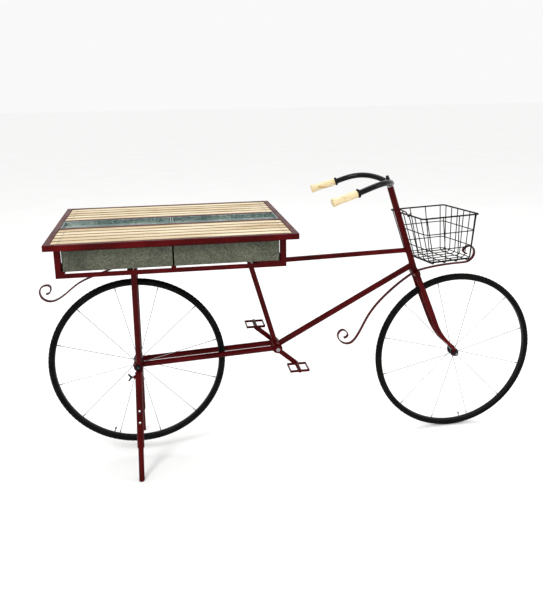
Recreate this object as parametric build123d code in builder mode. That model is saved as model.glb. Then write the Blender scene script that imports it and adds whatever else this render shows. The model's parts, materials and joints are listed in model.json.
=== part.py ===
from build123d import *
import os
from math import cos, radians, sin

# Push vending cart on a bicycle-type frame.  Millimetres, +Z up, front wheel towards +X.
# The near side of the cart is -Y and the far side is +Y.

# ---- driving dimensions ----
REAR_AXLE = (-667.5, 0, 410)
FRONT_AXLE = (674.5, 0, 350)
WHEEL_RADIUS = 350
TYRE_WIDTH = 28
RIM_OUTER = 330
RIM_INNER = 323
RIM_WIDTH = 22
SPOKE_COUNT = 12
SPOKE_RADIUS = 1.3
FLANGE_RADIUS = 18
SPOKE_START = 14
AXLE_RADIUS = 5
RUNNING_FIT = 0.05
WELD_GAP = 0.02

TABLE_MID_X = -506
TABLE_LENGTH = 859
TABLE_WIDTH = 700
TABLE_TOP = 984
BAR_SIZE = 20
BAR_WALL = 1.5
CHANNEL_HALF = 64
SLAT_LENGTH = 817
SLAT_WIDTH = 45
SLAT_GAP = 3.5
SLAT_THICK = 12.5
SLATS_PER_SIDE = 5

BOX_LENGTH = 788
BOX_HALF_X = BOX_LENGTH / 2
BOX_MID_X = -511.5
BOX_HALF_Y = 320
BOX_BOTTOM = 862
ANGLE_HEIGHT = 16
ANGLE_THICK = 3
RUNNER_THICK = 6
RUNNER_LIP = 5.5
GUIDE_THICK = 2
GUIDE_SETBACK = 30
DRAWER_LENGTH = 365
DRAWER_DEPTH = 618
DRAWER_HEIGHT = 70.5
DRAWER_LIFT = 0.5
DRAWER_GAP = 6
SHEET = 1.5
PAN_LENGTH = 406
PAN_WIDTH = 125
PAN_HEIGHT = 16

BRACKET = (-105.5, 0, 438)
BRACKET_HALF = 42
SPINDLE_RADIUS = 8
CRANK_LENGTH = 98
CRANK_ANGLE = -41
PEDAL_LENGTH = 78
PEDAL_WIDTH = 78

HEAD_TILT = 18.06
HEAD_FOOT = (483.5, 0, 725)
HEAD_RADIUS = 13
STEERER_RADIUS = 11
HEAD_TUBE_TOP = 118
STEM_TOP = 374
CLAMP_HEIGHT = 390
CLAMP_RADIUS = 14
BAR_RADIUS = 11
COLLAR = (191, 0, 1086.5)
COLLAR_Y = 166
BAR_END = (90, 0, 1056)
BAR_END_Y = 177
BLADE_Y = 26
BLADE_RADIUS = 8
STAY_Y = 30
STAY_RADIUS = 11
POST_Y = 53
POST_RADIUS = 11.5
POST_START = 426
LUG_INNER = 46
LUG_OUTER = 58
LUG_RADIUS = 17
LUG_FOOT_Z = 374
SEAT_RADIUS = 10.5
TOP_RADIUS = 10
DOWN_RADIUS = 12
TUBE_WALL = 2

LEG_AT_AXLE = (-666, 84, 410)
LEG_AT_FLOOR = (-675, 205, 0)
LEG_START = 393
LEG_RADIUS = 10.5
SLEEVE_BORE = 10.58
SLEEVE_RADIUS = 13.5
SLEEVE_TOP = 403
SLEEVE_END = 122
PIN_HOLES = (257, 214)
PIN_HOLE_RADIUS = 5.5
WING_Z = 385

BASKET_TURN = 12.2
BASKET_RIM_MID = (558.5, 969)
BASKET_RIM_SIZE = (265, 238)
BASKET_FLOOR_MID = (583, 775)
BASKET_FLOOR_SIZE = (194, 198)
RIM_WIRE = 3
SIDE_WIRE = 1.5
LONG_SIDE_WIRES = 4
SHORT_SIDE_WIRES = 6
WIRE_MARGIN = 0.07
WIRE_LEVELS = (0.345, 0.68, 0.992)

AXIS_UP = (-sin(radians(HEAD_TILT)), 0, cos(radians(HEAD_TILT)))
os.makedirs("parts", exist_ok=True)

HEAD = Plane(origin=HEAD_FOOT, x_dir=(cos(radians(HEAD_TILT)), 0, sin(radians(HEAD_TILT))), z_dir=AXIS_UP)
BAR_CENTRE = (
    HEAD_FOOT[0] + CLAMP_HEIGHT * AXIS_UP[0],
    0,
    HEAD_FOOT[2] + CLAMP_HEIGHT * AXIS_UP[2],
)
TABLE_UNDER = TABLE_TOP - BAR_SIZE
CROSS_BASE = BOX_BOTTOM + ANGLE_THICK
CROSS_TOP = BOX_BOTTOM + ANGLE_HEIGHT
RUNNER_TOP = CROSS_TOP + RUNNER_THICK
BASE = (Align.CENTER, Align.CENTER, Align.MIN)
SIDES = (-1, 1)


def point(start, x=0.0, y=0.0, z=0.0):
    """The point that lies x, y, z away from start."""
    return (start[0] + x, start[1] + y, start[2] + z)


def between(a, b, part):
    """The point at that part of the way from a to b."""
    return tuple(p + (q - p) * part for p, q in zip(a, b))


def rod(a, b, radius, mode=Mode.ADD):
    """A round bar from point a to point b."""
    run = Vector(*b) - Vector(*a)
    with Locations(Plane(origin=a, z_dir=run)):
        Cylinder(radius, run.length, align=BASE, mode=mode)


def ball(a, radius):
    """A ball that rounds off the corner between two bars."""
    with Locations(a):
        Sphere(radius)


def bar_on_head(low, high, radius, mode=Mode.ADD):
    """A round bar along the steering axis between two heights above the crown."""
    with Locations(HEAD.offset(low)):
        Cylinder(radius, high - low, align=BASE, mode=mode)


def block(x_span, y_span, z_span, mode=Mode.ADD):
    """A rectangular block between given limits."""
    size = [span[1] - span[0] for span in (x_span, y_span, z_span)]
    middle = tuple((span[1] + span[0]) / 2 for span in (x_span, y_span, z_span))
    with Locations(middle):
        Box(*size, mode=mode)


def square_tube_x(x_span, y_mid, z_mid, size_y, size_z):
    """A rectangular tube along X, open at both ends."""
    block(x_span, (y_mid - size_y / 2, y_mid + size_y / 2), (z_mid - size_z / 2, z_mid + size_z / 2))
    inner_y = size_y / 2 - BAR_WALL
    inner_z = size_z / 2 - BAR_WALL
    block(x_span, (y_mid - inner_y, y_mid + inner_y), (z_mid - inner_z, z_mid + inner_z), Mode.SUBTRACT)


def square_tube_y(y_span, x_mid, z_mid, size_x, size_z):
    """A rectangular tube along Y, open at both ends."""
    block((x_mid - size_x / 2, x_mid + size_x / 2), y_span, (z_mid - size_z / 2, z_mid + size_z / 2))
    inner_x = size_x / 2 - BAR_WALL
    inner_z = size_z / 2 - BAR_WALL
    block((x_mid - inner_x, x_mid + inner_x), y_span, (z_mid - inner_z, z_mid + inner_z), Mode.SUBTRACT)


def tray(x_span, y_span, z_span, rim):
    """An open sheet-metal tray with a small rolled rim along its top edge."""
    block(x_span, y_span, z_span)
    inner_x = (x_span[0] + SHEET, x_span[1] - SHEET)
    inner_y = (y_span[0] + SHEET, y_span[1] - SHEET)
    block(inner_x, inner_y, (z_span[0] + SHEET, z_span[1] + SHEET), Mode.SUBTRACT)
    top = (z_span[1] - 2 * SHEET, z_span[1])
    block(x_span, y_span, top)
    rim_x = (x_span[0] + rim, x_span[1] - rim)
    rim_y = (y_span[0] + rim, y_span[1] - rim)
    block(rim_x, rim_y, (top[0] - SHEET, top[1] + SHEET), Mode.SUBTRACT)


def scroll(points, width, thickness):
    """A flat bar bent into a scroll in the middle plane of the cart."""
    with BuildSketch(Plane.XZ) as band:
        with BuildLine():
            Spline(*points)
        trace(line_width=thickness)
    extrude(band.sketch, amount=width / 2, both=True)


def ring(axle, outer, inner, half_width):
    """A flat ring about a wheel's axle."""
    rod(point(axle, y=-half_width), point(axle, y=half_width), outer)
    rod(point(axle, y=-half_width - 1), point(axle, y=half_width + 1), inner, Mode.SUBTRACT)


def tyre(axle):
    """A round-section tyre seated on its rim."""
    section_radius = TYRE_WIDTH / 2
    with BuildSketch(Plane.YZ.offset(axle[0])) as section:
        with Locations((0, axle[2] + WHEEL_RADIUS - section_radius)):
            Circle(section_radius)
        with Locations((0, axle[2] + RIM_INNER)):
            Rectangle(2 * TYRE_WIDTH, 2 * (RIM_OUTER - RIM_INNER) + 0.1, mode=Mode.SUBTRACT)
    revolve(section.sketch, axis=Axis(axle, (0, 1, 0)), revolution_arc=360)


def rim(axle):
    """A channel-section rim, open towards the tyre."""
    ring(axle, RIM_OUTER, RIM_INNER, RIM_WIDTH / 2)
    groove_half = RIM_WIDTH / 2 - 3
    with BuildSketch(Plane.YZ.offset(axle[0])) as groove:
        with Locations((0, axle[2] + RIM_OUTER)):
            Rectangle(2 * groove_half, 8)
    revolve(groove.sketch, axis=Axis(axle, (0, 1, 0)), revolution_arc=360, mode=Mode.SUBTRACT)


def spokes(axle, flange_y, first_angle):
    """Radial spokes with their nipples, from alternate hub flanges to the rim."""
    for number in range(SPOKE_COUNT):
        angle = radians(first_angle + 360 / SPOKE_COUNT * number)
        side = SIDES[number % 2]
        out = (cos(angle), 0, sin(angle))
        inner_end = point(axle, x=SPOKE_START * out[0], y=side * flange_y, z=SPOKE_START * out[2])
        outer_end = point(axle, x=RIM_OUTER * out[0], z=RIM_OUTER * out[2])
        rod(inner_end, outer_end, SPOKE_RADIUS)
        rod(between(inner_end, outer_end, 0.93), outer_end, 2.4)
    reach = flange_y + 10
    rod(point(axle, y=-reach), point(axle, y=reach), FLANGE_RADIUS, Mode.SUBTRACT)
    with BuildSketch(Plane.XZ.offset(-axle[1])) as outside:
        with Locations((axle[0], axle[2])):
            Circle(RIM_OUTER + 10)
            Circle(RIM_INNER, mode=Mode.SUBTRACT)
    extrude(outside.sketch, amount=reach, both=True, mode=Mode.SUBTRACT)


def hub(axle, half_width):
    """A hub barrel with two spoke flanges and a pocket for a bearing at each end."""
    rod(point(axle, y=-half_width), point(axle, y=half_width), 13)
    for side in SIDES:
        flange_low = side * half_width - 1.5 if side > 0 else side * half_width
        rod(point(axle, y=flange_low - 1.5), point(axle, y=flange_low + 3), FLANGE_RADIUS)
    rod(point(axle, y=-half_width - 5), point(axle, y=half_width + 5), 6.5, Mode.SUBTRACT)
    for side in SIDES:
        rod(point(axle, y=side * (half_width - 5)), point(axle, y=side * (half_width + 5)), 9.5, Mode.SUBTRACT)


def bearings(axle, half_width):
    """The two bearing rings pressed into a hub."""
    for side in SIDES:
        rod(point(axle, y=side * (half_width - 4.9)), point(axle, y=side * half_width), 9.48)
    rod(
        point(axle, y=-half_width - 5),
        point(axle, y=half_width + 5),
        AXLE_RADIUS + RUNNING_FIT,
        Mode.SUBTRACT,
    )


def axle_nuts(axle, seat_y):
    """A washer and a hexagon nut at each end of an axle."""
    for side in SIDES:
        rod(point(axle, y=side * seat_y), point(axle, y=side * (seat_y + 1.5)), 12)
        with BuildSketch(Plane(origin=point(axle, y=side * (seat_y + 1.5)), z_dir=(0, side, 0))) as hexagon:
            RegularPolygon(11, 6)
        extrude(hexagon.sketch, amount=8)
    reach = seat_y + 20
    rod(point(axle, y=-reach), point(axle, y=reach), AXLE_RADIUS + 0.02, Mode.SUBTRACT)


def leg_point(side, z):
    """A point on the sloping axis of a stand leg, at height z."""
    x, y, _ = between(LEG_AT_AXLE, LEG_AT_FLOOR, (LEG_AT_AXLE[2] - z) / LEG_AT_AXLE[2])
    return (x, side * y, z)


def pin_holes(side):
    """The two cross holes through a stand leg and its sleeve, square to the leg."""
    splay = LEG_AT_FLOOR[1] - LEG_AT_AXLE[1]
    for z in PIN_HOLES:
        square = Vector(0, LEG_AT_AXLE[2], side * splay).normalized() * 25
        centre = Vector(*leg_point(side, z))
        rod(tuple(centre - square), tuple(centre + square), PIN_HOLE_RADIUS, Mode.SUBTRACT)


def stand_leg(side):
    """The inner tube of a stand leg, cut level at the ground."""
    rod(leg_point(side, LEG_START), leg_point(side, -15), LEG_RADIUS)
    rod(leg_point(side, LEG_START + 10), leg_point(side, -25), LEG_RADIUS - BAR_WALL, Mode.SUBTRACT)
    pin_holes(side)
    foot = leg_point(side, 0)
    block((foot[0] - 30, foot[0] + 30), (foot[1] - 40, foot[1] + 40), (-50, 0), Mode.SUBTRACT)


def wing_screw(side):
    """A wing screw that pinches a stand leg in its sleeve."""
    centre = leg_point(side, WING_Z)
    rod(point(centre, x=side * 10.9), point(centre, x=side * 25), 3)
    rod(point(centre, x=side * 24), point(centre, x=side * 32), 5.5)
    with BuildSketch(Plane.XZ.offset(-centre[1])) as wings:
        for tilt in SIDES:
            middle = (centre[0] + side * 32.5, centre[2] + tilt * 6)
            SlotCenterPoint(middle, (centre[0] + side * 37, centre[2] + tilt * 12), 6.5)
    extrude(wings.sketch, amount=2, both=True)


def crank_pin(side):
    """The centre of a pedal pin at a crank arm, on the middle plane."""
    angle = radians(CRANK_ANGLE)
    reach = -side * CRANK_LENGTH
    return point(BRACKET, x=reach * cos(angle), z=reach * sin(angle))


def crank_arm(side):
    """A flat crank arm with the pin that its pedal turns on."""
    pin = crank_pin(side)
    inner = side * 48
    outer = side * 55
    rod(point(BRACKET, y=inner), point(BRACKET, y=outer), 15)
    rod(point(pin, y=inner), point(pin, y=outer), 9.5)
    arm_dir = (pin[0] - BRACKET[0], 0, pin[2] - BRACKET[2])
    with BuildSketch(Plane(origin=point(BRACKET, y=inner), x_dir=arm_dir, z_dir=(0, side, 0))) as flat:
        with Locations((CRANK_LENGTH / 2, 0)):
            Rectangle(CRANK_LENGTH, 19)
    extrude(flat.sketch, amount=7)
    rod(point(BRACKET, y=side * 40), point(BRACKET, y=side * 60), SPINDLE_RADIUS + 0.02, Mode.SUBTRACT)
    rod(point(pin, y=outer), point(pin, y=outer + side * (PEDAL_WIDTH + 6)), 5)


def pedal(side):
    """A rectangular pedal of flat strip round a tube that turns on the crank's pin."""
    pin = crank_pin(side)
    start = side * 57
    end = side * (57 + PEDAL_WIDTH)
    low, high = sorted((start, end))
    half = PEDAL_LENGTH / 2
    block((pin[0] - half, pin[0] + half), (low, high), (pin[2] - 4.5, pin[2] + 4.5))
    block((pin[0] - half + 4, pin[0] + half - 4), (low + 4, high - 4), (pin[2] - 5, pin[2] + 5), Mode.SUBTRACT)
    rod(point(pin, y=start), point(pin, y=end), 7.5)
    rod(point(pin, y=start - side), point(pin, y=end + side), AXLE_RADIUS + RUNNING_FIT, Mode.SUBTRACT)


def basket_corner(middle, size, along, across):
    """A corner of the basket's rim or floor, with the basket's turn about the head."""
    turn = radians(BASKET_TURN)
    dx = along * size[0] / 2
    dy = across * size[1] / 2
    return (middle[0] + dx * cos(turn) - dy * sin(turn), dx * sin(turn) + dy * cos(turn), middle[1])


def basket_corners(middle, size):
    """The four corners of one level of the basket, in order."""
    order = ((-1, -1), (1, -1), (1, 1), (-1, 1))
    return [basket_corner(middle, size, along, across) for along, across in order]


RIM_CORNERS = basket_corners(BASKET_RIM_MID, BASKET_RIM_SIZE)
FLOOR_CORNERS = basket_corners(BASKET_FLOOR_MID, BASKET_FLOOR_SIZE)


def wire_parts(count):
    """How far along a side of the basket each of its upright wires stands."""
    return [WIRE_MARGIN + (1 - 2 * WIRE_MARGIN) * step / (count - 1) for step in range(count)]


def basket_panel(number):
    """One side of the basket: upright wires crossed by level wires."""
    after = (number + 1) % 4
    for part in wire_parts(SHORT_SIDE_WIRES if number % 2 else LONG_SIDE_WIRES):
        top = between(RIM_CORNERS[number], RIM_CORNERS[after], part)
        foot = between(FLOOR_CORNERS[number], FLOOR_CORNERS[after], part)
        rod(top, foot, SIDE_WIRE)
    for level in WIRE_LEVELS:
        left = between(RIM_CORNERS[number], FLOOR_CORNERS[number], level)
        right = between(RIM_CORNERS[after], FLOOR_CORNERS[after], level)
        rod(between(left, right, 0.005), between(left, right, 0.985), SIDE_WIRE)


def bar_half(side):
    """One half of the handlebar: swept out, up and back to a straight end for the grip."""
    centre = BAR_CENTRE
    collar = point(COLLAR, y=side * COLLAR_Y)
    end = point(BAR_END, y=side * BAR_END_Y)
    clamp_side = point(centre, y=side * 20)
    with BuildLine() as path:
        Line(centre, clamp_side)
        Bezier(
            clamp_side,
            point(centre, y=side * 50),
            point(centre, x=-50, y=side * 160, z=44),
            between(collar, end, -0.42),
            collar,
        )
        Line(collar, end)
    with BuildSketch(Plane(origin=centre, z_dir=(0, side, 0))) as section:
        Circle(BAR_RADIUS)
    sweep(section.sketch, path=path.line)


# ---- tabletop ----
rail_mid_z = TABLE_TOP - BAR_SIZE / 2
table_end = TABLE_LENGTH / 2
end_rail_x = table_end - BAR_SIZE / 2
long_half = table_end - BAR_SIZE - WELD_GAP
long_rails = (TABLE_MID_X - long_half, TABLE_MID_X + long_half)

with BuildPart() as table_rails:
    for end in SIDES:
        end_x = TABLE_MID_X + end * end_rail_x
        square_tube_y((-TABLE_WIDTH / 2, TABLE_WIDTH / 2), end_x, rail_mid_z, BAR_SIZE, BAR_SIZE)
    for side in SIDES:
        for y in (TABLE_WIDTH / 2 - BAR_SIZE / 2, CHANNEL_HALF + BAR_SIZE / 2):
            square_tube_x(long_rails, side * y, rail_mid_z, BAR_SIZE, BAR_SIZE)
table_rails.part.label = "table_rails"
export_step(table_rails.part, "parts/table_rails.step")

slat_x = (TABLE_MID_X - SLAT_LENGTH / 2, TABLE_MID_X + SLAT_LENGTH / 2)
slat_z = (TABLE_TOP - SLAT_THICK + 0.5, TABLE_TOP + 0.5)
first_slat = CHANNEL_HALF + BAR_SIZE + SLAT_GAP


def slats(side):
    """The slats of one half of the tabletop."""
    for number in range(SLATS_PER_SIDE):
        low = first_slat + number * (SLAT_WIDTH + SLAT_GAP)
        y_span = sorted((side * low, side * (low + SLAT_WIDTH)))
        block(slat_x, y_span, slat_z)


with BuildPart() as near_slats:
    slats(-1)
near_slats.part.label = "near_slats"
export_step(near_slats.part, "parts/near_slats.step")

with BuildPart() as far_slats:
    slats(1)
far_slats.part.label = "far_slats"
export_step(far_slats.part, "parts/far_slats.step")

bearer_low = CHANNEL_HALF + BAR_SIZE
bearer_high = TABLE_WIDTH / 2 - BAR_SIZE
with BuildPart() as slat_bearers:
    for x in (-890, TABLE_MID_X, -122):
        for side in SIDES:
            y_span = sorted((side * bearer_low, side * bearer_high))
            block((x - 10, x + 10), y_span, (TABLE_UNDER, slat_z[0]))
    for x in (-880, -550, -462, -132):
        block((x - 10, x + 10), (-CHANNEL_HALF, CHANNEL_HALF), (TABLE_UNDER, TABLE_UNDER + 3))
slat_bearers.part.label = "slat_bearers"
export_step(slat_bearers.part, "parts/slat_bearers.step")

# ---- drawer box under the table ----
post_x = BOX_HALF_X - BAR_SIZE / 2
post_y = BOX_HALF_Y - BAR_SIZE / 2
box_ends = (BOX_MID_X - BOX_HALF_X, BOX_MID_X + BOX_HALF_X)
between_posts_x = (box_ends[0] + BAR_SIZE + WELD_GAP, box_ends[1] - BAR_SIZE - WELD_GAP)
between_posts_y = (-BOX_HALF_Y + BAR_SIZE + WELD_GAP, BOX_HALF_Y - BAR_SIZE - WELD_GAP)
flat_leg_z = (BOX_BOTTOM, CROSS_BASE)
upright_leg_z = (BOX_BOTTOM, CROSS_TOP)

with BuildPart() as box_rails:
    for side in SIDES:
        face = side * BOX_HALF_Y
        block(between_posts_x, sorted((face, face - side * BAR_SIZE)), flat_leg_z)
        block(between_posts_x, sorted((face, face - side * ANGLE_THICK)), upright_leg_z)
    for end in SIDES:
        face = BOX_MID_X + end * BOX_HALF_X
        block(sorted((face, face - end * BAR_SIZE)), between_posts_y, flat_leg_z)
        block(sorted((face, face - end * ANGLE_THICK)), between_posts_y, upright_leg_z)
box_rails.part.label = "box_rails"
export_step(box_rails.part, "parts/box_rails.step")

with BuildPart() as box_posts:
    for end in SIDES:
        for side in SIDES:
            x = BOX_MID_X + end * post_x
            y = side * post_y
            block((x - 10, x + 10), (y - 10, y + 10), (BOX_BOTTOM, TABLE_UNDER))
            hollow = 10 - BAR_WALL
            block((x - hollow, x + hollow), (y - hollow, y + hollow), (BOX_BOTTOM, TABLE_UNDER), Mode.SUBTRACT)
box_posts.part.label = "box_posts"
export_step(box_posts.part, "parts/box_posts.step")

REAR_CROSS_X = -660
FRONT_CROSS_X = -226.5
cross_half = BOX_HALF_Y - ANGLE_THICK - WELD_GAP
with BuildPart() as cross_members:
    for x in (REAR_CROSS_X, FRONT_CROSS_X):
        middle_z = (CROSS_BASE + CROSS_TOP) / 2
        square_tube_y((-cross_half, cross_half), x, middle_z, BAR_SIZE, CROSS_TOP - CROSS_BASE)
cross_members.part.label = "cross_members"
export_step(cross_members.part, "parts/cross_members.step")

runner_y = BOX_HALF_Y - 0.5
runner_ends = (BOX_MID_X - DRAWER_GAP / 2 - DRAWER_LENGTH, BOX_MID_X + DRAWER_GAP / 2 + DRAWER_LENGTH)
with BuildPart() as drawer_runners:
    half = DRAWER_GAP / 2 + RUNNER_LIP
    block((BOX_MID_X - half, BOX_MID_X + half), (-runner_y, runner_y), (CROSS_TOP, RUNNER_TOP))
    block((between_posts_x[0], runner_ends[0] + RUNNER_LIP), (-runner_y, runner_y), (CROSS_TOP, RUNNER_TOP))
    block((runner_ends[1] - RUNNER_LIP, between_posts_x[1]), (-runner_y, runner_y), (CROSS_TOP, RUNNER_TOP))
drawer_runners.part.label = "drawer_runners"
export_step(drawer_runners.part, "parts/drawer_runners.step")

guide_z = (RUNNER_TOP, TABLE_UNDER)
guide_y = BOX_HALF_Y - GUIDE_SETBACK
with BuildPart() as drawer_guides:
    block((BOX_MID_X - GUIDE_THICK / 2, BOX_MID_X + GUIDE_THICK / 2), (-guide_y, guide_y), guide_z)
    block((between_posts_x[0], between_posts_x[0] + GUIDE_THICK), (-guide_y, guide_y), guide_z)
    block((between_posts_x[1] - GUIDE_THICK, between_posts_x[1]), (-guide_y, guide_y), guide_z)
drawer_guides.part.label = "drawer_guides"
export_step(drawer_guides.part, "parts/drawer_guides.step")

drawer_z = (RUNNER_TOP + DRAWER_LIFT, RUNNER_TOP + DRAWER_LIFT + DRAWER_HEIGHT)
drawer_y = (-318, -318 + DRAWER_DEPTH)
with BuildPart() as rear_drawer:
    front_end = BOX_MID_X - DRAWER_GAP / 2
    tray((front_end - DRAWER_LENGTH, front_end), drawer_y, drawer_z, 5)
rear_drawer.part.label = "rear_drawer"
export_step(rear_drawer.part, "parts/rear_drawer.step")

with BuildPart() as front_drawer:
    rear_end = BOX_MID_X + DRAWER_GAP / 2
    tray((rear_end, rear_end + DRAWER_LENGTH), drawer_y, drawer_z, 5)
front_drawer.part.label = "front_drawer"
export_step(front_drawer.part, "parts/front_drawer.step")

# ---- planting pans in the middle channel ----
pan_z = (TABLE_UNDER + 3.1, TABLE_UNDER + 3.1 + PAN_HEIGHT)
pan_y = (-PAN_WIDTH / 2, PAN_WIDTH / 2)
with BuildPart() as rear_pan:
    tray((TABLE_MID_X - 1.5 - PAN_LENGTH, TABLE_MID_X - 1.5), pan_y, pan_z, 4)
rear_pan.part.label = "rear_pan"
export_step(rear_pan.part, "parts/rear_pan.step")

with BuildPart() as front_pan:
    tray((TABLE_MID_X + 1.5, TABLE_MID_X + 1.5 + PAN_LENGTH), pan_y, pan_z, 4)
front_pan.part.label = "front_pan"
export_step(front_pan.part, "parts/front_pan.step")

# ---- bicycle frame ----
SEAT_TOP = (FRONT_CROSS_X, 0, CROSS_BASE)
TOP_REAR = (-206.5, 0, 797)
TOP_FRONT = (454.5, 0, 814)
DOWN_FRONT = (475, 0, 751)

with BuildPart() as bb_shell:
    rod(point(BRACKET, y=-BRACKET_HALF), point(BRACKET, y=BRACKET_HALF), 20)
    rod(point(BRACKET, y=-50), point(BRACKET, y=50), SPINDLE_RADIUS + RUNNING_FIT, Mode.SUBTRACT)
bb_shell.part.label = "bb_shell"
export_step(bb_shell.part, "parts/bb_shell.step")


def cope_bracket():
    """Cuts a tube's end to the bottom bracket shell."""
    rod(point(BRACKET, y=-60), point(BRACKET, y=60), 20, Mode.SUBTRACT)


with BuildPart() as seat_tube:
    rod(BRACKET, between(BRACKET, SEAT_TOP, 1.05), SEAT_RADIUS)
    rod(BRACKET, between(BRACKET, SEAT_TOP, 1.06), SEAT_RADIUS - TUBE_WALL, Mode.SUBTRACT)
    cope_bracket()
    block((-400, 0), (-50, 50), (CROSS_BASE, 1000), Mode.SUBTRACT)
seat_tube.part.label = "seat_tube"
export_step(seat_tube.part, "parts/seat_tube.step")

with BuildPart() as top_tube:
    rod(TOP_REAR, TOP_FRONT, TOP_RADIUS)
    rod(TOP_REAR, TOP_FRONT, TOP_RADIUS - TUBE_WALL, Mode.SUBTRACT)
    rod(BRACKET, between(BRACKET, SEAT_TOP, 1.2), SEAT_RADIUS, Mode.SUBTRACT)
    bar_on_head(-50, 300, HEAD_RADIUS, Mode.SUBTRACT)
top_tube.part.label = "top_tube"
export_step(top_tube.part, "parts/top_tube.step")

with BuildPart() as down_tube:
    rod(BRACKET, DOWN_FRONT, DOWN_RADIUS)
    rod(BRACKET, DOWN_FRONT, DOWN_RADIUS - TUBE_WALL, Mode.SUBTRACT)
    cope_bracket()
    bar_on_head(-50, 300, HEAD_RADIUS, Mode.SUBTRACT)
down_tube.part.label = "down_tube"
export_step(down_tube.part, "parts/down_tube.step")

with BuildPart() as head_tube:
    bar_on_head(6, HEAD_TUBE_TOP, HEAD_RADIUS)
    bar_on_head(0, HEAD_TUBE_TOP + 10, STEERER_RADIUS + 0.6, Mode.SUBTRACT)
head_tube.part.label = "head_tube"
export_step(head_tube.part, "parts/head_tube.step")

with BuildPart() as headset_rings:
    bar_on_head(0.4, 6, HEAD_RADIUS + 2)
    bar_on_head(HEAD_TUBE_TOP, HEAD_TUBE_TOP + 4, HEAD_RADIUS + 0.8)
    bar_on_head(-5, HEAD_TUBE_TOP + 10, STEERER_RADIUS + RUNNING_FIT, Mode.SUBTRACT)
headset_rings.part.label = "headset_rings"
export_step(headset_rings.part, "parts/headset_rings.step")

with BuildPart() as chainstays:
    for side in SIDES:
        y = side * STAY_Y
        rod(point(BRACKET, y=y), point(REAR_AXLE, y=y), STAY_RADIUS)
        rod(point(REAR_AXLE, y=y - 6), point(REAR_AXLE, y=y + 6), 20)
    cope_bracket()
    rod(point(REAR_AXLE, y=-80), point(REAR_AXLE, y=80), AXLE_RADIUS + 0.02, Mode.SUBTRACT)
chainstays.part.label = "chainstays"
export_step(chainstays.part, "parts/chainstays.step")

POST_FOOT = (-664, 0, REAR_AXLE[2])
POST_HEAD = (REAR_CROSS_X, 0, CROSS_BASE)
AXLE_HOLE = AXLE_RADIUS + WELD_GAP
with BuildPart() as rear_posts:
    for side in SIDES:
        y = side * POST_Y
        low_end = between(POST_FOOT, POST_HEAD, (POST_START - POST_FOOT[2]) / (POST_HEAD[2] - POST_FOOT[2]))
        rod(point(low_end, y=y), point(between(POST_FOOT, POST_HEAD, 1.02), y=y), POST_RADIUS)
        rod(point(REAR_AXLE, y=side * LUG_INNER), point(REAR_AXLE, y=side * LUG_OUTER), LUG_RADIUS)
        lug_y = sorted((side * LUG_INNER, side * LUG_OUTER))
        block((POST_FOOT[0] - 12, POST_FOOT[0] + 12), lug_y, (LUG_FOOT_Z, POST_START + 4))
    block((-700, -600), (-80, 80), (CROSS_BASE, 900), Mode.SUBTRACT)
    rod(point(REAR_AXLE, y=-80), point(REAR_AXLE, y=80), AXLE_HOLE, Mode.SUBTRACT)
rear_posts.part.label = "rear_posts"
export_step(rear_posts.part, "parts/rear_posts.step")

REAR_SCROLL = (
    (-658, 862),
    (-765.5, 796),
    (-879.5, 749),
    (-949.5, 697),
    (-984.5, 687),
    (-1015.5, 706),
    (-1010.5, 746),
    (-980.5, 747),
    (-981.5, 725),
    (-998, 718),
)
with BuildPart() as rear_scroll:
    scroll(REAR_SCROLL, 14, 5)
    block((-700, -600), (-20, 20), (CROSS_BASE, 900), Mode.SUBTRACT)
rear_scroll.part.label = "rear_scroll"
export_step(rear_scroll.part, "parts/rear_scroll.step")

# ---- stand ----
STUB_Z = 382
with BuildPart() as stand_sleeves:
    for side in SIDES:
        rod(leg_point(side, SLEEVE_TOP), leg_point(side, SLEEVE_END), SLEEVE_RADIUS)
        rod((POST_FOOT[0], side * POST_Y, STUB_Z), leg_point(side, STUB_Z), 7)
        centre = leg_point(side, WING_Z)
        rod(centre, point(centre, x=side * 20), 7)
        rod(leg_point(side, SLEEVE_TOP + 15), leg_point(side, SLEEVE_END - 20), SLEEVE_BORE, Mode.SUBTRACT)
        rod(centre, point(centre, x=side * 30), 3 + RUNNING_FIT, Mode.SUBTRACT)
        pin_holes(side)
    add(rear_posts.part, mode=Mode.SUBTRACT)
stand_sleeves.part.label = "stand_sleeves"
export_step(stand_sleeves.part, "parts/stand_sleeves.step")

with BuildPart() as near_leg:
    stand_leg(-1)
near_leg.part.label = "near_leg"
export_step(near_leg.part, "parts/near_leg.step")

with BuildPart() as far_leg:
    stand_leg(1)
far_leg.part.label = "far_leg"
export_step(far_leg.part, "parts/far_leg.step")

with BuildPart() as near_wing_screw:
    wing_screw(-1)
near_wing_screw.part.label = "near_wing_screw"
export_step(near_wing_screw.part, "parts/near_wing_screw.step")

with BuildPart() as far_wing_screw:
    wing_screw(1)
far_wing_screw.part.label = "far_wing_screw"
export_step(far_wing_screw.part, "parts/far_wing_screw.step")

# ---- rear wheel ----
REAR_HUB_HALF = 17
REAR_AXLE_HALF = LUG_OUTER + 11.5
with BuildPart() as rear_tyre:
    tyre(REAR_AXLE)
rear_tyre.part.label = "rear_tyre"
export_step(rear_tyre.part, "parts/rear_tyre.step")

with BuildPart() as rear_rim:
    rim(REAR_AXLE)
rear_rim.part.label = "rear_rim"
export_step(rear_rim.part, "parts/rear_rim.step")

with BuildPart() as rear_spokes:
    spokes(REAR_AXLE, REAR_HUB_HALF - 1.5, 13)
rear_spokes.part.label = "rear_spokes"
export_step(rear_spokes.part, "parts/rear_spokes.step")

with BuildPart() as rear_hub:
    hub(REAR_AXLE, REAR_HUB_HALF)
rear_hub.part.label = "rear_hub"
export_step(rear_hub.part, "parts/rear_hub.step")

with BuildPart() as rear_bearings:
    bearings(REAR_AXLE, REAR_HUB_HALF)
rear_bearings.part.label = "rear_bearings"
export_step(rear_bearings.part, "parts/rear_bearings.step")

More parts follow.
